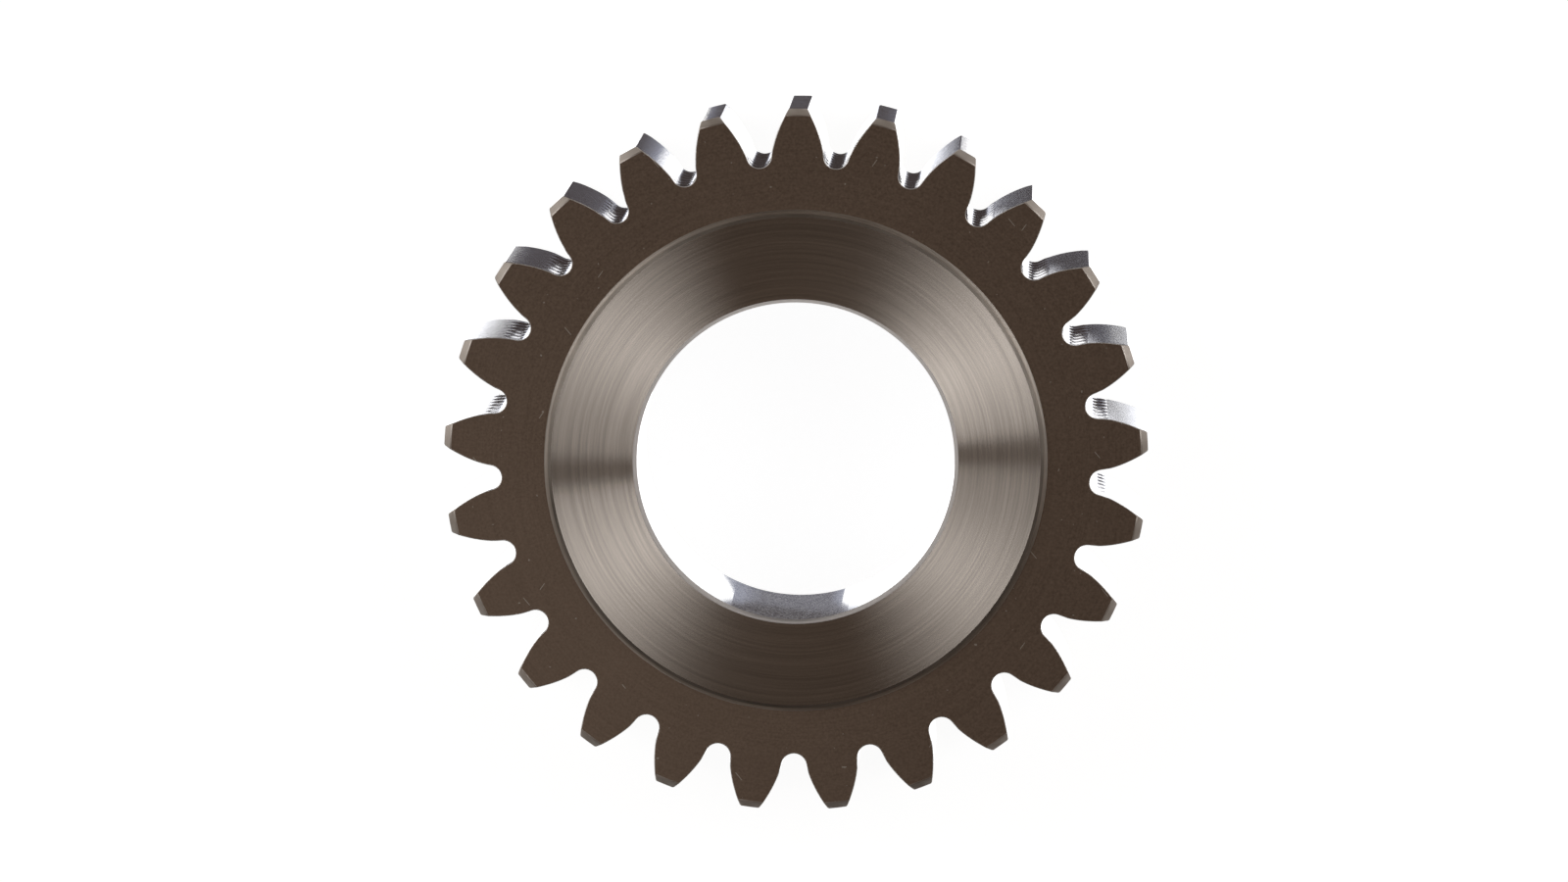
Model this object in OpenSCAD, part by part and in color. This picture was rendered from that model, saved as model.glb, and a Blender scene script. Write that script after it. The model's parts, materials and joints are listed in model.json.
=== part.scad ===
// Planet gear: a spur wheel with a plain bearing bore and a low raised hub ring on each face.
// The bore axis is Z, the middle of the face width lies at Z = 0, and a tooth gap is centred on -Y.

/* [Teeth] */
// Number of teeth
teeth = 25; // [24:1:60]
// Module: pitch diameter for each tooth
gear_module = 4; // [3.8:0.1:8]
// Pressure angle of the basic rack, in degrees
pressure_angle = 20; // [18:0.5:24]
// Profile shift, in modules: moves the teeth outwards and thickens them
profile_shift = 0.32; // [0:0.01:0.5]
// Tooth height above the shifted pitch circle, in modules
addendum = 0.89; // [0.7:0.01:1]
// Tooth depth below the shifted pitch circle, in modules
dedendum = 1.34; // [1.2:0.01:1.45]
// Width of the toothed rim
face_w = 36; // [12:1:90]
// Chamfer turned on both ends of the tooth tips, at 45 degrees
tip_chamfer = 1; // [0.2:0.1:2]

/* [Hub] */
// Diameter of the raised hub ring at its wall
hub_d = 77.2; // [66:0.2:80]
// Height of the hub ring above each side of the rim
hub_h = 1.5; // [1.3:0.1:8]
// Chamfer on the outer edge of the hub ring, at 45 degrees
hub_chamfer = 0.5; // [0.1:0.1:0.6]
// Fillet where the hub ring rises from the side of the rim
hub_fillet = 0.6; // [0.1:0.1:0.6]

/* [Bore] */
// Diameter of the bearing bore
bore_d = 49.5; // [20:0.5:60]
// Radial width of the lead-in chamfer at each end of the bore
lead_w = 0.6; // [0.2:0.1:1.2]
// Axial length of that lead-in chamfer
lead_l = 1.2; // [0.2:0.1:3]

/* [Hidden] */
$fn = 144;

flank_steps = 10;               // chords along each tooth flank
past = 1;                       // how far a cutter runs past the surface that it cuts

pitch_angle = 360 / teeth;
pitch_r = gear_module * teeth / 2;
base_r = pitch_r * cos(pressure_angle);
tip_r = pitch_r + gear_module * (addendum + profile_shift);
root_r = pitch_r - gear_module * (dedendum - profile_shift);
face_z = face_w / 2;            // side of the toothed rim
hub_z = face_z + hub_h;         // bearing face of the hub ring
hub_r = hub_d / 2;
bore_r = bore_d / 2;

// Involute function in degrees: the polar angle gained between the base circle and radius r
function roll_angle(r) = acos(min(1, base_r / r));
function involute(r) = tan(roll_angle(r)) * 180 / PI - roll_angle(r);

// Half of the gap between two teeth at the base circle, and then at any radius, in degrees
gap_at_base = 90 / teeth - 2 * profile_shift * tan(pressure_angle) / teeth * 180 / PI
            - involute(pitch_r);
function half_gap(r) = gap_at_base + involute(r);

// The root is one full round, tangent to both flanks. An offset of an involute is an involute of
// the same base circle, so the round's radius follows from the radius that its centre lies on.
function round_radius(centre_r) = base_r * half_gap(centre_r) * PI / 180;
function round_centre(centre_r, passes) =
    passes == 0 ? centre_r : round_centre(root_r + round_radius(centre_r), passes - 1);
root_centre = round_centre(base_r, 12);
root_round = round_radius(root_centre);

// Length of the line that unwinds from the base circle to reach radius r
function unwound(r) = sqrt(max(0, pow(r, 2) - pow(base_r, 2)));
function reach(line) = sqrt(pow(base_r, 2) + pow(line, 2));
flank_start = max(0, unwound(root_centre) - root_round);
flank_end = unwound(tip_r + past);
flank_radii = [for (i = [0 : flank_steps])
    reach(flank_start + (flank_end - flank_start) * i / flank_steps)];

function polar(r, angle) = [r * cos(angle), r * sin(angle)];

module tooth_gap() {
    translate([root_centre, 0]) circle(r = root_round);
    polygon(concat(
        [for (r = flank_radii) polar(r, -half_gap(r))],
        [for (i = [flank_steps : -1 : 0]) polar(flank_radii[i], half_gap(flank_radii[i]))]));
}

module tooth_gaps() {
    for (i = [0 : teeth - 1])
        rotate(-90 + i * pitch_angle)
            linear_extrude(height = 2 * (hub_z + past), center = true)
                tooth_gap();
}

// Half of the turned section, from the axis out to the tip circle
module rim_section() {
    polygon([
        [0, 0], [tip_r, 0], [tip_r, face_z - tip_chamfer], [tip_r - tip_chamfer, face_z],
        [hub_r, face_z], [hub_r, hub_z - hub_chamfer], [hub_r - hub_chamfer, hub_z], [0, hub_z]]);
    translate([hub_r, face_z]) difference() {
        square(hub_fillet);
        translate([hub_fillet, hub_fillet]) circle(r = hub_fillet);
    }
}

module turned_blank() {
    for (side = [0, 1]) mirror([0, 0, side]) rotate_extrude() rim_section();
}

module bearing_bore() {
    cylinder(r = bore_r, h = 2 * (hub_z + past), center = true);
    for (side = [0, 1]) mirror([0, 0, side])
        translate([0, 0, hub_z - lead_l])
            cylinder(r1 = bore_r, r2 = bore_r + lead_w * (lead_l + past) / lead_l, h = lead_l + past);
}

module planet_gear() {
    color([0.32, 0.29, 0.26]) difference() {
        turned_blank();
        tooth_gaps();
        bearing_bore();
    }
}

planet_gear();
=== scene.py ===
import json
import math

import bpy
import numpy as np
from mathutils import Matrix, Vector


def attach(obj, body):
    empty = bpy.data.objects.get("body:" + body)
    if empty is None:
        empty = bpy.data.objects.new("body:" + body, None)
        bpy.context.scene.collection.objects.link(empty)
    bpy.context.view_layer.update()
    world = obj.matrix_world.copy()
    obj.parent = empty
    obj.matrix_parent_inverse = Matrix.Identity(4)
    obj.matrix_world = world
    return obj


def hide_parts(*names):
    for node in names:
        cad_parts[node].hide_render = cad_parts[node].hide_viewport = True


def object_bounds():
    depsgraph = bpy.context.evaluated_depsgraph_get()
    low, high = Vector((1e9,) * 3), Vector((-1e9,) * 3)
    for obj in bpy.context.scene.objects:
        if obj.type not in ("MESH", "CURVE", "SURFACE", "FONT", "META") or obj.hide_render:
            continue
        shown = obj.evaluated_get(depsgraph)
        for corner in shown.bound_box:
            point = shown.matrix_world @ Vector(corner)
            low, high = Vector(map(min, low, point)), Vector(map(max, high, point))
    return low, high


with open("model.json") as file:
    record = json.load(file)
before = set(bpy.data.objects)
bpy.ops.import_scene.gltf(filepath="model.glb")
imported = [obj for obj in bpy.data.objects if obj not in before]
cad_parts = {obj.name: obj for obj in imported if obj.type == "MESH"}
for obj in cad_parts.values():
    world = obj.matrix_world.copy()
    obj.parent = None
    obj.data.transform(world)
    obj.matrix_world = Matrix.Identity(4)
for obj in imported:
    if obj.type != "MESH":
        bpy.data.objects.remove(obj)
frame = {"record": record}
cadLow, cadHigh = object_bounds()
mm = 0.001
print("frame loaded, box in mm", [round(side / mm, 2) for side in cadHigh - cadLow])


# The gear's own sizes in millimetres and degrees, the same as its solid's
mounts = {mount["name"]: mount for mount in frame["record"]["mounts"]}
gear = {
    "teeth": 25,
    "module": 4.0,
    "pressureAngle": 20.0,
    "profileShift": 0.32,
    "addendum": 0.89,
    "dedendum": 1.34,
    "tipChamfer": 1.0,
    "hubTop": cadHigh.z / mm,
    "hubHeight": 1.5,
    "hubRadius": 38.6,
    "hubChamfer": 0.5,
    "hubFillet": 0.6,
    "boreRadius": mounts["bore"]["dims"]["r_mm"],
    "leadWidth": 0.6,
    "leadLength": 1.2,
    "edgeBreak": 0.12,      # broken edge along the tooth outline, on both sides
    "cornerBreak": 0.14,    # broken corner between a flank and the tip land
    "feedPitch": 5.3,       # distance between the hob's feed marks
    "feedDepth": 0.15,
    "groundFrom": 49.0,     # radius where the ground flank takes over from the hobbed one
    "groundBlend": 0.8,     # and how far below it the feed marks reach their full depth
    "rootSteps": 6,         # chords in half of a root round
    "hobbedSteps": 3,
    "groundSteps": 7,
    "filletSteps": 5,
    "breakSteps": 3,
    "feedRows": 64,         # rows of faces down the length of a tooth
    "sharpAngle": 40,
}


def involute(angle):
    return np.tan(angle) - angle


def toothForm(gear):
    pressure = math.radians(gear["pressureAngle"])
    pitch = gear["module"] * gear["teeth"] / 2
    form = {
        "base": pitch * math.cos(pressure),
        "tip": pitch + gear["module"] * (gear["addendum"] + gear["profileShift"]),
        "root": pitch - gear["module"] * (gear["dedendum"] - gear["profileShift"]),
        "pitchAngle": 2 * math.pi / gear["teeth"],
        "gapAtBase": math.pi / (2 * gear["teeth"])
        - 2 * gear["profileShift"] * math.tan(pressure) / gear["teeth"] - involute(pressure),
    }
    centre = form["base"]
    for _ in range(12):     # the root round touches both flanks
        centre = form["root"] + form["base"] * halfGap(form, centre)
    form["roundCentre"] = centre
    form["round"] = form["base"] * halfGap(form, centre)
    form["flankStart"] = math.hypot(form["base"], unwound(form, centre) - form["round"])
    return form


def halfGap(form, radius):
    return form["gapAtBase"] + involute(np.arccos(np.minimum(1.0, form["base"] / radius)))


def unwound(form, radius):
    return np.sqrt(np.maximum(0.0, radius ** 2 - form["base"] ** 2))


# Half of a gap's outline, from the bottom of the root to the middle of the next tooth's land.
# x points out along the gap's centre line, and the normals point out of the metal.
def halfOutline(form, tipRadius):
    startAngle = halfGap(form, form["flankStart"])
    meet = math.atan2(form["flankStart"] * math.sin(startAngle),
                      form["roundCentre"] - form["flankStart"] * math.cos(startAngle))
    turn = np.linspace(0, meet, gear["rootSteps"] + 1)
    rootX = form["roundCentre"] - form["round"] * np.cos(turn)
    rootY = form["round"] * np.sin(turn)

    hobbed = np.linspace(unwound(form, form["flankStart"]), unwound(form, gear["groundFrom"]),
                         gear["hobbedSteps"] + 1)[1:]
    ground = np.linspace(unwound(form, gear["groundFrom"]),
                         unwound(form, tipRadius - gear["cornerBreak"]), gear["groundSteps"] + 1)[1:]
    line = np.concatenate([hobbed, ground])
    flankRadius = np.hypot(form["base"], line)
    flankAngle = halfGap(form, flankRadius)
    lean = form["gapAtBase"] + line / form["base"]

    landAngle = np.array([halfGap(form, tipRadius) + gear["cornerBreak"] / tipRadius,
                          form["pitchAngle"] / 2])
    x = np.concatenate([rootX, flankRadius * np.cos(flankAngle), tipRadius * np.cos(landAngle)])
    y = np.concatenate([rootY, flankRadius * np.sin(flankAngle), tipRadius * np.sin(landAngle)])
    normalX = np.concatenate([np.cos(turn), np.sin(lean), np.cos(landAngle)])
    normalY = np.concatenate([-np.sin(turn), -np.cos(lean), np.sin(landAngle)])
    return x, y, normalX, normalY


# One level of the whole toothed outline. The hob's feed marks are shallow waves in the gaps,
# half above and half below the true surface, and a little further on in each gap.
def outlineAt(form, z, tipRadius, inset):
    x, y, normalX, normalY = halfOutline(form, tipRadius)
    radius = np.hypot(x, y)
    hobbed = np.clip((gear["groundFrom"] - radius) / gear["groundBlend"], 0, 1)
    hobbed = hobbed * hobbed * (3 - 2 * hobbed)
    side = np.array([-1.0] * (len(x) - 1) + [1.0] * (len(x) - 1))
    order = list(range(len(x) - 1, 0, -1)) + list(range(len(x) - 1))
    points = []
    for gap in range(gear["teeth"]):
        wave = ((z / gear["feedPitch"] + gap / gear["teeth"]) % 1.0) - 0.5
        cut = inset + gear["feedDepth"] * (0.5 - 4 * wave ** 2) * hobbed
        px = (x - normalX * cut)[order]
        py = (y - normalY * cut)[order] * side
        angle = -math.pi / 2 + gap * form["pitchAngle"]
        points.append(np.stack([px * math.cos(angle) - py * math.sin(angle),
                                px * math.sin(angle) + py * math.cos(angle),
                                np.full(len(px), z)], axis=1))
    return np.concatenate(points)


# The levels of the upper half's outline as (z, tip radius, inset), from the side of the rim down
def upperLevels(form, face):
    levels = []
    for turn in np.linspace(0, math.pi / 2, gear["breakSteps"] + 1):
        z = face - gear["edgeBreak"] * (1 - math.cos(turn))
        inset = gear["edgeBreak"] * (1 - math.sin(turn))
        levels.append((z, form["tip"] - gear["tipChamfer"] + (face - z), inset))
    return levels


# The whole surface is one closed grid: its rows run out over the upper face, down the teeth,
# in over the lower face and back up the bore. Each strip of faces has a finish of its own.
def gearGrid(form):
    top = gear["hubTop"]
    face = top - gear["hubHeight"]
    wall = gear["hubRadius"]
    bore = gear["boreRadius"]
    upper = upperLevels(form, face)
    first = outlineAt(form, *upper[0])
    around = np.arctan2(first[:, 1], first[:, 0])

    def circle(radius, z):
        return np.stack([radius * np.cos(around), radius * np.sin(around),
                         np.full(len(around), z)], axis=1)

    section = [(bore, top - gear["leadLength"], "lead"),
               (bore + gear["leadWidth"], top, "hub"),
               (wall - gear["hubChamfer"], top, "chamfer"),
               (wall, top - gear["hubChamfer"], "turned")]
    for turn in np.linspace(math.pi, 1.5 * math.pi, gear["filletSteps"] + 1):
        section.append((wall + gear["hubFillet"] * (1 + math.cos(turn)),
                        face + gear["hubFillet"] * (1 + math.sin(turn)), "turned"))
    section[-1] = section[-1][:2] + ("side",)

    rows = [circle(radius, z) for radius, z, _ in section]
    finish = [name for _, _, name in section]
    for level in upper:
        rows.append(outlineAt(form, *level))
        finish.append("edge")
    finish[-1] = "cone"
    land = face - gear["tipChamfer"]
    for z in np.linspace(land, -land, gear["feedRows"] + 1):
        rows.append(outlineAt(form, z, form["tip"], 0))
        finish.append("tooth")
    finish[-1] = "cone"
    for z, tipRadius, inset in reversed(upper):
        rows.append(outlineAt(form, -z, tipRadius, inset))
        finish.append("edge")
    finish[-1] = "side"
    for radius, z, _ in reversed(section):
        rows.append(circle(radius, -z))
    # the lower section's strips come in the other order
    finish += ["turned"] * (len(section) - 4) + ["chamfer", "hub", "lead", "bore"]
    return rows, finish


finishes = ["rimSide", "hubFace", "turnedEdge", "tipCone", "tipLand", "groundFlank", "wornFlank",
            "hobbedRoot", "honedBore", "boreLead", "hubChamfer", "brokenEdge"]
plainFinish = {"lead": "boreLead", "hub": "hubFace", "chamfer": "hubChamfer", "turned": "turnedEdge",
               "side": "rimSide", "bore": "honedBore"}


# What finish the strip's face between two columns of one tooth has
def toothFinish(strip, column, half):
    step = min(column, 2 * half - 1 - column)       # 0 at the land, half - 1 at the root's bottom
    if step < 2:
        return {"edge": "tipCone", "cone": "tipCone", "tooth": "tipLand"}[strip]
    if strip == "edge":
        return "brokenEdge"
    if step < 2 + gear["groundSteps"]:
        return "wornFlank" if column < half else "groundFlank"
    return "hobbedRoot"


def buildGear(form):
    rows, finish = gearGrid(form)
    columns = len(rows[0])
    perTooth = columns // gear["teeth"]
    points = np.concatenate(rows) * mm
    faces = []
    slots = []
    for i, strip in enumerate(finish):
        a, b = i * columns, ((i + 1) % len(rows)) * columns
        for j in range(columns):
            k = (j + 1) % columns
            faces.append((a + j, b + j, b + k, a + k))
            name = plainFinish.get(strip) or toothFinish(strip, j % perTooth, perTooth // 2)
            slots.append(finishes.index(name))
    mesh = bpy.data.meshes.new("planetGearBody")
    mesh.from_pydata(points.tolist(), [], faces)
    mesh.polygons.foreach_set("material_index", slots)
    mesh.polygons.foreach_set("use_smooth", [True] * len(faces))
    mesh.set_sharp_from_angle(angle=math.radians(gear["sharpAngle"]))
    mesh.update()
    body = bpy.data.objects.new("planetGearBody", mesh)
    bpy.context.collection.objects.link(body)
    even = body.modifiers.new("evenShading", "WEIGHTED_NORMAL")
    even.keep_sharp = True
    return body


form = toothForm(gear)
gearBody = buildGear(form)
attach(gearBody, "root")
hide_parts("planet_gear")
print("gear built,", len(gearBody.data.polygons), "faces")


# Makes a node, links the inputs that are sockets and sets the others
def addNode(tree, kind, inputs=None, **settings):
    made = tree.nodes.new(kind)
    for name, value in settings.items():
        setattr(made, name, value)
    for name, value in (inputs or {}).items():
        if isinstance(value, bpy.types.NodeSocket):
            tree.links.new(value, made.inputs[name])
        else:
            made.inputs[name].default_value = value
    return made


def calc(tree, operation, *values):
    return addNode(tree, "ShaderNodeMath", dict(enumerate(values)), operation=operation).outputs[0]


def vectorCalc(tree, operation, *values, output="Vector", **inputs):
    inputs.update(enumerate(values))
    made = addNode(tree, "ShaderNodeVectorMath", inputs, operation=operation)
    return made.outputs[output]


def remap(tree, value, fromLow, fromHigh, toLow, toHigh):
    return addNode(tree, "ShaderNodeMapRange",
                   {"Value": value, "From Min": fromLow, "From Max": fromHigh,
                    "To Min": toLow, "To Max": toHigh}).outputs["Result"]


def noise(tree, vector, scale, detail, roughness):
    return addNode(tree, "ShaderNodeTexNoise",
                   {"Vector": vector, "Scale": scale, "Detail": detail, "Roughness": roughness}
                   ).outputs["Fac"]


def mixColour(tree, factor, first, second):
    made = addNode(tree, "ShaderNodeMix", {"Factor": factor}, data_type="RGBA")
    for index, value in ((6, first), (7, second)):
        if isinstance(value, bpy.types.NodeSocket):
            tree.links.new(value, made.inputs[index])
        else:
            made.inputs[index].default_value = (*value, 1)
    return made.outputs[2]


# Places on the gear as textures need them: the point itself, its height, its distance from
# the axis, and the direction out from the axis, which runs round the gear without a seam
def placeOnGear(tree):
    point = addNode(tree, "ShaderNodeTexCoord").outputs["Object"]
    axes = addNode(tree, "ShaderNodeSeparateXYZ", {"Vector": point})
    flat = addNode(tree, "ShaderNodeCombineXYZ",
                   {"X": axes.outputs["X"], "Y": axes.outputs["Y"]}).outputs[0]
    return {"point": point, "height": axes.outputs["Z"],
            "radius": vectorCalc(tree, "LENGTH", flat, output="Value"),
            "outward": vectorCalc(tree, "NORMALIZE", flat)}


lineNoise = (1.0, 2.0, 0.6)


# Lines that follow the tool round the axis: so many in each metre of the given measure, and
# so many changes along one radian of the arc
def toolLines(tree, place, lines, measure):
    across, along = lines
    arc = vectorCalc(tree, "SCALE", place["outward"], Scale=along)
    xyz = addNode(tree, "ShaderNodeSeparateXYZ", {"Vector": arc})
    vector = addNode(tree, "ShaderNodeCombineXYZ",
                     {"X": xyz.outputs["X"], "Y": xyz.outputs["Y"],
                      "Z": calc(tree, "MULTIPLY", measure, across)})
    return noise(tree, vector.outputs[0], *lineNoise)


scratchForm = {
    "stretch": 4,               # how much longer than wide a cell is
    "width": 0.00005,           # from the middle of the scratch to its side, in metres
    "reach": 0.12,              # from its middle to its end, in lengths of a cell
}


# Short hairline scratches in one direction, in a share of the cells of a stretched pattern
def scratches(tree, place, look):
    cell = look["cell"]
    turned = addNode(tree, "ShaderNodeMapping",
                     {"Vector": place["point"], "Rotation": (0, 0, math.radians(look["direction"]))})
    stretched = addNode(tree, "ShaderNodeMapping",
                        {"Vector": turned.outputs[0],
                         "Scale": (1 / cell, 1 / (scratchForm["stretch"] * cell), 1 / cell)}
                        ).outputs[0]
    cells = addNode(tree, "ShaderNodeTexVoronoi", {"Vector": stretched, "Scale": 1.0}, feature="F1")
    draw = addNode(tree, "ShaderNodeSeparateXYZ", {"Vector": cells.outputs["Color"]})
    chosen = calc(tree, "LESS_THAN", draw.outputs["X"], look["share"])
    offset = vectorCalc(tree, "SUBTRACT", stretched, cells.outputs["Position"])
    apart = addNode(tree, "ShaderNodeSeparateXYZ", {"Vector": offset})
    across = calc(tree, "ABSOLUTE", apart.outputs["X"])
    along = calc(tree, "ABSOLUTE", apart.outputs["Y"])
    thin = calc(tree, "LESS_THAN", across, scratchForm["width"] / cell)
    short = calc(tree, "LESS_THAN", along, scratchForm["reach"])
    return calc(tree, "MULTIPLY", calc(tree, "MULTIPLY", thin, short), chosen)


def emptyMaterial(name):
    material = bpy.data.materials.new(name)
    material.use_nodes = True
    material.node_tree.nodes.clear()
    return material, material.node_tree


def newMetal(name):
    material, tree = emptyMaterial(name)
    shader = addNode(tree, "ShaderNodeBsdfPrincipled", {"Metallic": 1.0})
    addNode(tree, "ShaderNodeOutputMaterial", {"Surface": shader.outputs[0]})
    return material, tree, shader


def addBump(tree, shader, height, distance, strength):
    bump = addNode(tree, "ShaderNodeBump",
                   {"Height": height, "Distance": distance, "Strength": strength})
    tree.links.new(bump.outputs[0], shader.inputs["Normal"])


def feed(tree, shader, **sockets):
    for name, value in sockets.items():
        tree.links.new(value, shader.inputs[name.replace("_", " ")])


# The levels that run from a finish's dark to its light, and across its roughness
usualSpan = (0.35, 0.65)
roughnessSpan = (0.3, 0.7)


def shadeAt(tree, level, finish):
    span = finish.get("span", usualSpan)
    return mixColour(tree, remap(tree, level, *span, 0, 1), finish["dark"], finish["light"])


def roughnessAt(tree, level, finish):
    return remap(tree, level, *roughnessSpan, *finish["roughness"])


quarterTurn = 0.25


# Stretches highlights across the lines that a turning tool leaves
def drawOut(tree, shader, spread):
    tangent = addNode(tree, "ShaderNodeTangent", direction_type="RADIAL", axis="Z")
    shader.inputs["Anisotropic"].default_value = spread
    shader.inputs["Anisotropic Rotation"].default_value = quarterTurn
    feed(tree, shader, Tangent=tangent.outputs[0])


# Grain, cloud and speck give a noise its scale per metre, detail and roughness, lines are as
# toolLines takes them, and bump gives the depth in metres and the strength
rimSideFinish = {
    "dark": (0.190, 0.136, 0.100),
    "light": (0.286, 0.213, 0.162),
    "span": (0.32, 0.68),
    "grain": (2600, 2.0, 0.6),
    "lines": (3600, 3.0),
    "cloud": (55, 2.0, 0.5),
    "shares": (0.6, 0.25, 0.15),    # of the grain, the lines and the cloud in its shade
    "roughness": (0.40, 0.48),
    "bump": (0.00002, 0.4),
    "mark": (0.55, 0.50, 0.44),     # specks and hairline scratches in bright steel
    "speck": (1700, 0.0, 0.5),
    "speckFrom": (0.865, 0.885),    # only the noise's highest tops make specks
    "speckStrength": 0.8,
    "scratches": [
        {"direction": 35, "cell": 0.0013, "share": 0.014},
        {"direction": 140, "cell": 0.0016, "share": 0.012},
    ],
}


# Fine-ground sides of the rim, browned by heat treatment
def rimSideMaterial(finish):
    material, tree, shader = newMetal("rimSide")
    place = placeOnGear(tree)
    grain = noise(tree, place["point"], *finish["grain"])
    cloud = noise(tree, place["point"], *finish["cloud"])
    speck = noise(tree, place["point"], *finish["speck"])
    lines = toolLines(tree, place, finish["lines"], place["radius"])
    grainShare, lineShare, cloudShare = finish["shares"]
    level = calc(tree, "MULTIPLY_ADD", grain, grainShare, calc(tree, "MULTIPLY", lines, lineShare))
    level = calc(tree, "MULTIPLY_ADD", cloud, cloudShare, level)
    colour = shadeAt(tree, level, finish)
    marks = remap(tree, speck, *finish["speckFrom"], 0, finish["speckStrength"])
    for look in finish["scratches"]:
        marks = calc(tree, "MAXIMUM", marks, scratches(tree, place, look))
    feed(tree, shader, Base_Color=mixColour(tree, marks, colour, finish["mark"]),
         Roughness=roughnessAt(tree, grain, finish))
    addBump(tree, shader, level, *finish["bump"])
    return material


hubFaceFinish = {
    "dark": (0.49, 0.443, 0.398),
    "light": (0.69, 0.628, 0.568),
    "span": (0.3, 0.7),
    "fine": (3000, 1.5),
    "broad": (500, 0.5),
    "fineShare": 0.75,
    "paler": (0.0255, 0.038, 0.10, -0.04),  # two radii in metres, and what the level gains there
    "roughness": (0.26, 0.27),
    "spread": 1.0,              # how far the turning lines stretch a highlight across them
    "groove": 0.41,             # slope of the turning lines' two sides
}


# Turned thrust faces: the lines run round the axis, so highlights fan out from it. Each side
# of the lines has a lobe of its own.
def hubFaceMaterial(finish):
    material, tree, shader = newMetal("hubFace")
    place = placeOnGear(tree)
    fine = toolLines(tree, place, finish["fine"], place["radius"])
    broad = toolLines(tree, place, finish["broad"], place["radius"])
    share = finish["fineShare"]
    level = calc(tree, "MULTIPLY_ADD", fine, share, calc(tree, "MULTIPLY", broad, 1 - share))
    level = calc(tree, "ADD", level, remap(tree, place["radius"], *finish["paler"]))
    colour = shadeAt(tree, level, finish)
    roughness = roughnessAt(tree, broad, finish)
    normal = addNode(tree, "ShaderNodeNewGeometry").outputs["Normal"]
    other = addNode(tree, "ShaderNodeBsdfPrincipled", {"Metallic": 1.0})
    for side, lobe in ((1, shader), (-1, other)):
        tilt = vectorCalc(tree, "SCALE", place["outward"], Scale=side * finish["groove"])
        groove = vectorCalc(tree, "NORMALIZE", vectorCalc(tree, "ADD", normal, tilt))
        drawOut(tree, lobe, finish["spread"])
        feed(tree, lobe, Normal=groove, Base_Color=colour, Roughness=roughness)
    both = addNode(tree, "ShaderNodeMixShader",
                   {0: 0.5, 1: shader.outputs[0], 2: other.outputs[0]})
    tree.links.new(both.outputs[0], tree.nodes["Material Output"].inputs["Surface"])
    return material


edgeFinishes = {
    "turnedEdge": {"dark": (0.46, 0.415, 0.37), "light": (0.70, 0.635, 0.57),
                   "roughness": (0.42, 0.50), "spread": 0.9},
    "tipCone": {"dark": (0.60, 0.545, 0.495), "light": (0.82, 0.75, 0.69),
                "roughness": (0.38, 0.46), "spread": 0.8},
    "hubChamfer": {"dark": (0.30, 0.27, 0.24), "light": (0.46, 0.415, 0.37),
                   "roughness": (0.42, 0.50), "spread": 0.9},
    "boreLead": {"dark": (0.66, 0.60, 0.555), "light": (0.80, 0.735, 0.685),
                 "roughness": (0.34, 0.42)},
    "brokenEdge": {"dark": (0.70, 0.67, 0.64), "light": (0.90, 0.87, 0.84),
                   "roughness": (0.30, 0.40)},
}
edgeLines = {"lines": (4200, 3.0), "bump": (0.00001, 0.4)}


# Chamfers, fillets and broken edges
def edgeMaterial(name, finish):
    material, tree, shader = newMetal(name)
    place = placeOnGear(tree)
    slant = calc(tree, "ADD", place["radius"], place["height"])
    level = toolLines(tree, place, edgeLines["lines"], slant)
    feed(tree, shader, Base_Color=shadeAt(tree, level, finish),
         Roughness=roughnessAt(tree, level, finish))
    if "spread" in finish:
        drawOut(tree, shader, finish["spread"])
    addBump(tree, shader, level, *edgeLines["bump"])
    return material


tipLandFinish = {
    "dark": (0.50, 0.47, 0.45),
    "light": (0.66, 0.635, 0.62),
    "roughness": (0.10, 0.16),
    "fine": (2600, 3.0),
    "broad": (420, 1.5),
    "fineShare": 0.3,           # of the fine lines' height beside the broad ones'
    "bump": (0.00007, 0.8),
}


# Turned outside diameter, with lines round the gear that show up where the light changes
def tipLandMaterial(finish):
    material, tree, shader = newMetal("tipLand")
    place = placeOnGear(tree)
    broad = toolLines(tree, place, finish["broad"], place["height"])
    fine = toolLines(tree, place, finish["fine"], place["height"])
    feed(tree, shader, Base_Color=shadeAt(tree, fine, finish),
         Roughness=roughnessAt(tree, fine, finish))
    level = calc(tree, "MULTIPLY_ADD", fine, finish["fineShare"], broad)
    addBump(tree, shader, level, *finish["bump"])
    return material


toothFinishes = {
    "groundFlank": {"dark": (0.56, 0.56, 0.58), "light": (0.69, 0.69, 0.705),
                    "grain": (1800, 3.0, 0.6), "roughness": (0.10, 0.15), "bump": (0.000014, 0.8)},
    "wornFlank": {"dark": (0.50, 0.51, 0.56), "light": (0.74, 0.75, 0.80),
                  "grain": (1900, 3.0, 0.6), "roughness": (0.20, 0.30), "bump": (0.000018, 0.8)},
    "hobbedRoot": {"dark": (0.55, 0.545, 0.55), "light": (0.68, 0.67, 0.68),
                   "grain": (2200, 3.0, 0.6), "roughness": (0.10, 0.15), "bump": (0.000014, 0.8)},
}


# Bright tooth surfaces with a fine grain: ground on the flanks, as hobbed in the roots. The
# flanks that face counter-clockwise are a little duller than the others.
def toothMaterial(name, finish):
    material, tree, shader = newMetal(name)
    place = placeOnGear(tree)
    grain = noise(tree, place["point"], *finish["grain"])
    feed(tree, shader, Base_Color=shadeAt(tree, grain, finish),
         Roughness=roughnessAt(tree, grain, finish))
    addBump(tree, shader, grain, *finish["bump"])
    return material


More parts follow.
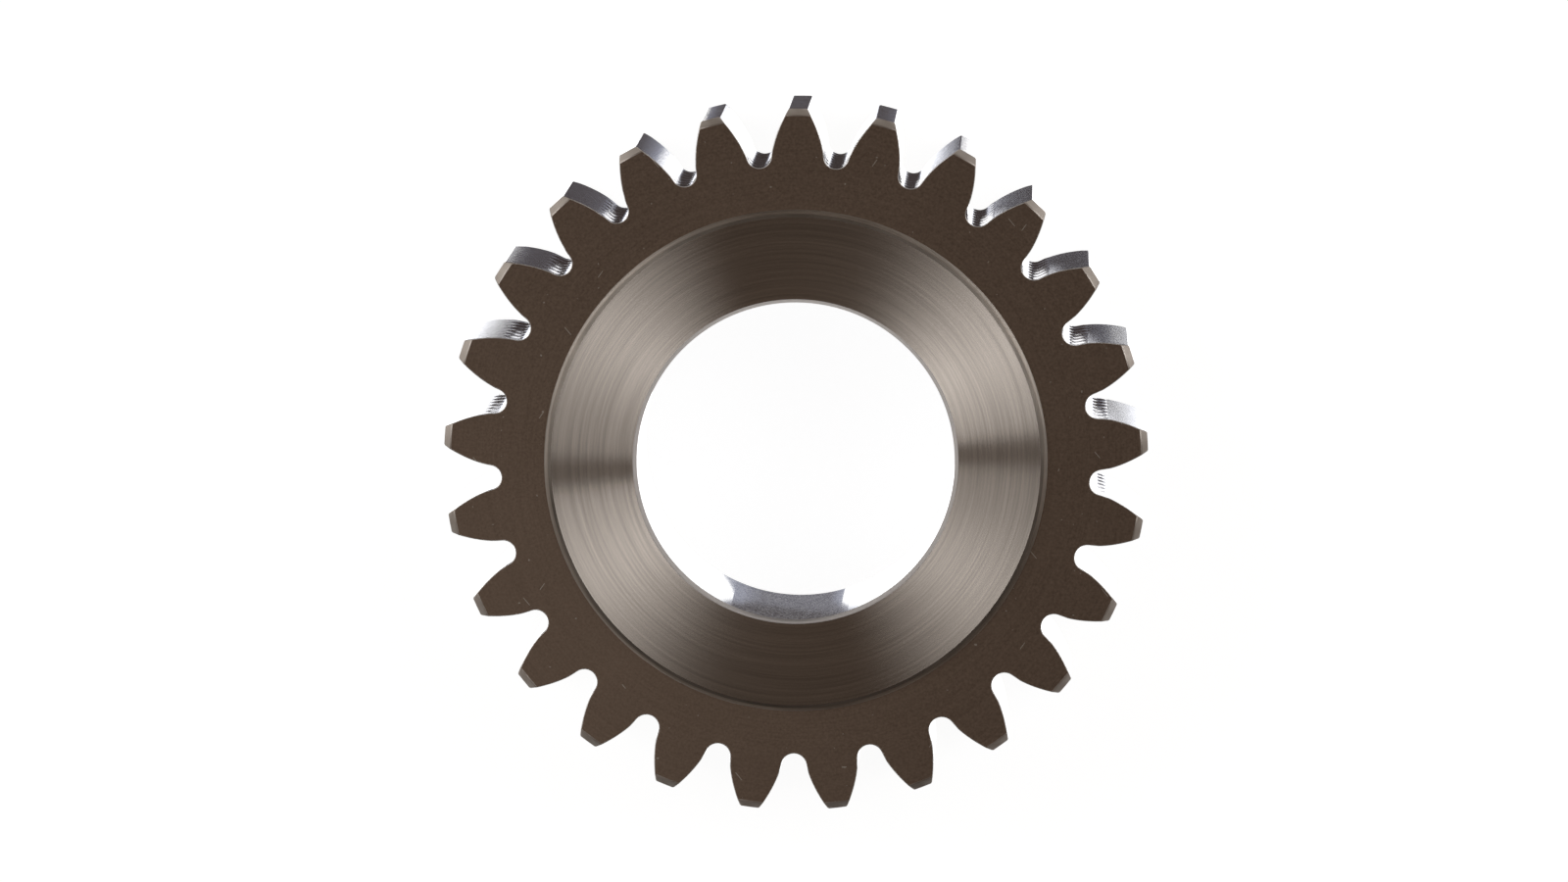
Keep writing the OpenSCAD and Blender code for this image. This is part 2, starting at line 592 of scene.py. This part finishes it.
honedBoreFinish = {
    "dark": (0.34, 0.34, 0.38),
    "light": (0.90, 0.90, 0.94),
    "span": (0.44, 0.57),
    "grain": (3200, 3.0, 0.65),
    "stretch": 4,               # how much longer the grain is along the bore
    "lines": (1500, 12.0),
    "grainShare": 0.7,
    "roughness": (0.72, 0.84),
    "bump": (0.00011, 1.0),
    "filmRoughness": 0.06,
    "filmIor": 1.7,
}


# Honed bore under a thin film of oil, which mirrors what the grain below it scatters
def honedBoreMaterial(finish):
    material, tree, shader = newMetal("honedBore")
    place = placeOnGear(tree)
    drawn = vectorCalc(tree, "MULTIPLY", place["point"], (1, 1, 1 / finish["stretch"]))
    grain = noise(tree, drawn, *finish["grain"])
    lines = toolLines(tree, place, finish["lines"], place["height"])
    share = finish["grainShare"]
    level = calc(tree, "MULTIPLY_ADD", grain, share, calc(tree, "MULTIPLY", lines, 1 - share))
    shader.inputs["Coat Weight"].default_value = 1.0
    shader.inputs["Coat Roughness"].default_value = finish["filmRoughness"]
    shader.inputs["Coat IOR"].default_value = finish["filmIor"]
    feed(tree, shader, Base_Color=shadeAt(tree, level, finish),
         Roughness=roughnessAt(tree, level, finish))
    addBump(tree, shader, level, *finish["bump"])
    return material


def finishGear(body):
    made = {
        "rimSide": rimSideMaterial(rimSideFinish),
        "hubFace": hubFaceMaterial(hubFaceFinish),
        "tipLand": tipLandMaterial(tipLandFinish),
        "honedBore": honedBoreMaterial(honedBoreFinish),
    }
    for name, finish in edgeFinishes.items():
        made[name] = edgeMaterial(name, finish)
    for name, finish in toothFinishes.items():
        made[name] = toothMaterial(name, finish)
    for name in finishes:
        body.data.materials.append(made[name])


finishGear(gearBody)
print("finishes made")


def addSheet(name, points, faces, material):
    mesh = bpy.data.meshes.new(name)
    mesh.from_pydata(points, [], faces)
    mesh.materials.append(material)
    sheet = bpy.data.objects.new(name, mesh)
    bpy.context.collection.objects.link(sheet)
    return sheet


floorLook = {
    "size": 6.0,
    "colour": (0.8, 0.8, 0.8),
    "seenBase": 0.94,           # white of the floor as the camera sees it
    "seenShare": 0.32,          # share of the real light in it, which keeps the shadow
}


def buildFloor(look):
    material, tree = emptyMaterial("floorPaper")
    path = addNode(tree, "ShaderNodeLightPath")
    reflectionCard = addNode(tree, "ShaderNodeBsdfDiffuse", {"Color": (*look["colour"], 1)})
    dim = addNode(tree, "ShaderNodeBsdfDiffuse",
                  {"Color": (*[look["seenShare"] * c for c in look["colour"]], 1)})
    white = addNode(tree, "ShaderNodeEmission",
                    {"Color": (1, 1, 1, 1), "Strength": look["seenBase"]})
    seen = addNode(tree, "ShaderNodeAddShader", {0: dim.outputs[0], 1: white.outputs[0]})
    mix = addNode(tree, "ShaderNodeMixShader",
                  {0: path.outputs["Is Camera Ray"], 1: reflectionCard.outputs[0], 2: seen.outputs[0]})
    addNode(tree, "ShaderNodeOutputMaterial", {"Surface": mix.outputs[0]})
    half = look["size"] / 2
    corners = [(-half, -half), (half, -half), (half, half), (-half, half)]
    floor = addSheet("floorSheet", [(x, y, cadLow.z) for x, y in corners], [(0, 1, 2, 3)], material)
    floor.visible_glossy = False    # polished steel mirrors the glowing card below it instead, a painted reflection of a white backdrop


# The room as the steel mirrors it: dark straight below, a grey wall round the gear that is
# lightest behind it, and dim overhead
studioRoom = {
    "below": (0.052, 0.040, 0.037),
    "wall": (0.335, 0.308, 0.282),
    "above": (0.076, 0.057, 0.045),
    "behind": 95,               # azimuth where the wall is lightest, in degrees
    "turnSpan": (-0.3, 0.6),    # cosine of the angle from there, from dim to light
    "frontShare": 0.14,         # the wall's level on the other side
    "sides": 0.9,               # and how much is added to it at the left and right
    "wallFoot": (-0.80, -0.66),     # height of a direction, from -1 straight down
    "wallTop": (0.10, 0.32),
}


# A glowing card far below the gear that only polished steel mirrors: a painted reflection of a
# white backdrop. A painted dark band on it stands in for the dark room in reflections, widens to the
# back and closes there. Each of its rows has a y in metres and the x where the white, the light grey
# and the grey end on the left, and where they begin again on the right.
reflectionCard = {
    "depth": -1.5,
    "level": 2.0,
    "lightGrey": (0.90, 0.96, 1.16),
    "nearGrey": (0.42, 0.44, 0.54),
    "nearDark": (0.185, 0.180, 0.205),      # painted dark in the band up to darkFrom, and the room's dark colour painted beyond
    "darkFrom": 0.146,
    "near": 0.45,               # distance from the axis where the sheet begins to darken
    "far": 1.0,
    "farShare": 0.27,           # its level from there on
    "ends": (-3.0, 4.0),
    "halfWidth": 4.0,
    "slot": [(0.0, -0.075, -0.075, -0.060, 0.020, 0.068, 0.068),
             (0.05, -0.088, -0.088, -0.070, 0.020, 0.074, 0.074),
             (0.10, -0.104, -0.104, -0.080, 0.020, 0.076, 0.076),
             (0.125, -0.185, -0.140, -0.112, 0.030, 0.078, 0.082),
             (0.142, -0.215, -0.162, -0.130, 0.050, 0.088, 0.096),
             (0.150, -0.228, -0.174, -0.139, 0.067, 0.110, 0.120),
             (0.17, -0.255, -0.200, -0.160, 0.110, 0.160, 0.175),
             (0.20, -0.270, -0.220, -0.180, 0.155, 0.200, 0.220),
             (0.42, -0.330, -0.285, -0.230, 0.240, 0.290, 0.310),
             (0.80, -0.420, -0.370, -0.300, 0.320, 0.385, 0.420),
             (1.15, -0.060, -0.040, -0.020, 0.020, 0.040, 0.060)],
}


# The card glows with the painted reflection's colour from its corners, dimmer away from the axis
def reflectionCardMaterial(look):
    material, tree = emptyMaterial("paperSheet")
    material.cycles.emission_sampling = "NONE"
    shade = addNode(tree, "ShaderNodeAttribute", attribute_name="glow").outputs["Color"]
    place = addNode(tree, "ShaderNodeNewGeometry").outputs["Position"]
    flat = vectorCalc(tree, "MULTIPLY", place, (1, 1, 0))
    radius = vectorCalc(tree, "LENGTH", flat, output="Value")
    level = remap(tree, radius, look["near"], look["far"], 1.0, look["farShare"])
    glow = addNode(tree, "ShaderNodeEmission", {"Color": shade, "Strength": level})
    addNode(tree, "ShaderNodeOutputMaterial", {"Surface": glow.outputs[0]})
    return material


# The left and right painted shade of each strip across the card at one row of the painted dark band
def reflectionCardStrips(look, row):
    white = (look["level"],) * 3
    pale = look["lightGrey"]
    grey = look["nearGrey"]
    dark = look["nearDark"] if row[0] < look["darkFrom"] else studioRoom["below"]
    return [(white, white), (white, pale), (grey, dark), (dark, dark), (dark, grey),
            (pale, white), (white, white)]


# Lays out the card's painted white, grey and dark strips, which only reflections show
def layReflectionCard(look):
    white = (look["level"],) * 3
    far = look["halfWidth"]
    slot = look["slot"]
    corners = []
    shades = []
    for low, high in ((look["ends"][0], slot[0][0]), (slot[-1][0], look["ends"][1])):
        corners += [(-far, low), (far, low), (far, high), (-far, high)]
        shades += [white] * 4
    for near, beyond in zip(slot, slot[1:]):
        nearX = (-far,) + near[1:] + (far,)
        beyondX = (-far,) + beyond[1:] + (far,)
        for k, (low, high) in enumerate(zip(reflectionCardStrips(look, near), reflectionCardStrips(look, beyond))):
            corners += [(nearX[k], near[0]), (nearX[k + 1], near[0]),
                        (beyondX[k + 1], beyond[0]), (beyondX[k], beyond[0])]
            shades += [low[0], low[1], high[1], high[0]]
    faces = [tuple(range(first, first + 4)) for first in range(0, len(corners), 4)]
    sheet = addSheet("paperSheet", [(x, y, look["depth"]) for x, y in corners], faces,
                     reflectionCardMaterial(look))
    glowing = sheet.data.color_attributes.new("glow", "FLOAT_COLOR", "CORNER")
    for corner, shade in zip(glowing.data, shades):
        corner.color = (*shade, 1)
    sheet.visible_camera = False
    sheet.visible_diffuse = False
    sheet.visible_shadow = False


# Softboxes round the direction in which the flat faces mirror the camera: the azimuth of the
# one edge that points at that direction, how far the box runs on from there, its angle from
# that direction and its size along that angle, all in degrees, and its distance in metres.
# The fade gives its brightness from that edge to the far one.
mirroredCamera = Vector((-0.0221, -0.0927, 0.9955))
softboxes = {
    "right": {"edge": 5.0, "run": 60, "fromAxis": 45, "tall": 36, "distance": 1.0, "level": 2.2,
              "fade": [(0.0, 0.52), (0.102, 0.71), (0.21, 0.91), (0.27, 0.92), (0.404, 0.61),
                       (0.484, 0.42), (0.688, 0.13), (1.0, 0.0)]},
    "left": {"edge": 181.8, "run": -68, "fromAxis": 45, "tall": 36, "distance": 1.0, "level": 2.15,
             "fade": [(0.0, 0.35), (0.097, 0.51), (0.176, 0.77), (0.267, 1.0), (0.383, 0.69),
                      (0.546, 0.36), (0.81, 0.11), (1.0, 0.0)]},
    "low": {"edge": 195, "run": 40, "fromAxis": 14, "tall": 14, "distance": 0.4, "level": 1.6,
            "fade": [(0.0, 1.0), (1.0, 1.0)]},
}


def addSoftbox(name, box):
    turn, lean = math.radians(box["edge"]), math.radians(box["fromAxis"])
    out = Vector((math.cos(turn) * math.sin(lean), math.sin(turn) * math.sin(lean), math.cos(lean)))
    side = Vector((-math.sin(turn), math.cos(turn), 0)) * math.copysign(1, box["run"])
    tip = Vector((0, 0, 1)).rotation_difference(mirroredCamera)
    out, side = tip @ out, tip @ side
    width = box["distance"] * math.sin(lean) * math.tan(math.radians(abs(box["run"])))
    height = 2 * box["distance"] * math.tan(math.radians(box["tall"] / 2))
    light = bpy.data.lights.new(name, "AREA")
    light.shape = "RECTANGLE"
    light.size, light.size_y = width, height
    light.energy = box["level"] * math.pi * width * height
    light.use_nodes = True
    tree = light.node_tree
    tree.nodes.clear()
    where = addNode(tree, "ShaderNodeNewGeometry").outputs["Parametric"]
    across = addNode(tree, "ShaderNodeSeparateXYZ", {"Vector": where}).outputs["X"]
    fade = addNode(tree, "ShaderNodeValToRGB", {"Fac": across})
    fade.color_ramp.interpolation = "LINEAR"
    while len(fade.color_ramp.elements) < len(box["fade"]):
        fade.color_ramp.elements.new(0.5)
    for element, (place, value) in zip(fade.color_ramp.elements, box["fade"]):
        element.position = place
        element.color = (value, value, value, 1)
    glow = addNode(tree, "ShaderNodeEmission", {"Color": fade.outputs["Color"], "Strength": 1.0})
    addNode(tree, "ShaderNodeOutputLight", {"Surface": glow.outputs[0]})
    lamp = bpy.data.objects.new(name, light)
    lamp.matrix_world = Matrix.Translation(out * box["distance"] + side * width / 2) @ Matrix(
        (side, out.cross(side), out)).transposed().to_4x4()
    lamp.visible_camera = False
    bpy.context.collection.objects.link(lamp)


def setRoom(look):
    made = bpy.data.worlds.new("studioRoom")
    made.use_nodes = True
    tree = made.node_tree
    tree.nodes.clear()
    direction = addNode(tree, "ShaderNodeTexCoord").outputs["Generated"]
    parts = addNode(tree, "ShaderNodeSeparateXYZ", {"Vector": direction}).outputs
    height = parts["Z"]
    turn = math.radians(look["behind"])
    behind = vectorCalc(tree, "DOT_PRODUCT", direction, (math.cos(turn), math.sin(turn), 0),
                        output="Value")
    share = remap(tree, behind, *look["turnSpan"], look["frontShare"], 1)
    sides = calc(tree, "MULTIPLY", calc(tree, "MULTIPLY", parts["X"], parts["X"]), look["sides"])
    share = calc(tree, "ADD", share, sides)
    wall = vectorCalc(tree, "SCALE", look["wall"], Scale=share)
    high = mixColour(tree, remap(tree, height, *look["wallTop"], 0, 1), wall, look["above"])
    room = mixColour(tree, remap(tree, height, *look["wallFoot"], 0, 1), look["below"], high)
    path = addNode(tree, "ShaderNodeLightPath")
    around = addNode(tree, "ShaderNodeBackground", {"Color": room, "Strength": 1.0})
    white = addNode(tree, "ShaderNodeBackground", {"Color": (1, 1, 1, 1), "Strength": 1.0})
    mix = addNode(tree, "ShaderNodeMixShader",
                  {0: path.outputs["Is Camera Ray"], 1: around.outputs[0], 2: white.outputs[0]})
    addNode(tree, "ShaderNodeOutputWorld", {"Surface": mix.outputs[0]})
    bpy.context.scene.world = made


# The photograph's camera: where the axis meets the side of the rim in its frame, and how it leans
shot = {
    "frameWidth": 1600,
    "frameHeight": 900,
    "axisX": 811.94,
    "axisY": 470.29,
    "pixelsPerTipRadius": 359.58,
    "tipRadii": 31.3,           # distance in tip radii
    "tilt": 5.20,
    "yaw": -1.37,
    "roll": -0.483,
    "sensor": 36.0,
    "clip": (0.05, 50),
}


def addCamera(shot, form):
    turn = (Matrix.Rotation(math.radians(shot["yaw"]), 3, "Y")
            @ Matrix.Rotation(math.radians(shot["tilt"]), 3, "X")
            @ Matrix.Rotation(math.radians(shot["roll"]), 3, "Z"))
    scale = form["tip"] * mm
    right = (shot["axisX"] - shot["frameWidth"] / 2) / shot["pixelsPerTipRadius"]
    up = (shot["frameHeight"] / 2 - shot["axisY"]) / shot["pixelsPerTipRadius"]
    centre = Vector((right, up, -shot["tipRadii"])) * scale
    back = turn.transposed()
    data = bpy.data.cameras.new("photoCamera")
    data.sensor_width = shot["sensor"]
    data.lens = (shot["sensor"] * shot["pixelsPerTipRadius"] * shot["tipRadii"]
                 / shot["frameWidth"])
    data.clip_start, data.clip_end = shot["clip"]
    camera = bpy.data.objects.new("photoCamera", data)
    bpy.context.collection.objects.link(camera)
    face = Vector((0, 0, (gear["hubTop"] - gear["hubHeight"]) * mm))
    camera.matrix_world = Matrix.Translation(face - back @ centre) @ back.to_4x4()
    bpy.context.scene.camera = camera


addCamera(shot, form)
buildFloor(floorLook)
layReflectionCard(reflectionCard)
for name, box in softboxes.items():
    addSoftbox(name, box)
setRoom(studioRoom)
bpy.context.scene.view_settings.view_transform = "Standard"
print("stage, lamps and camera set")
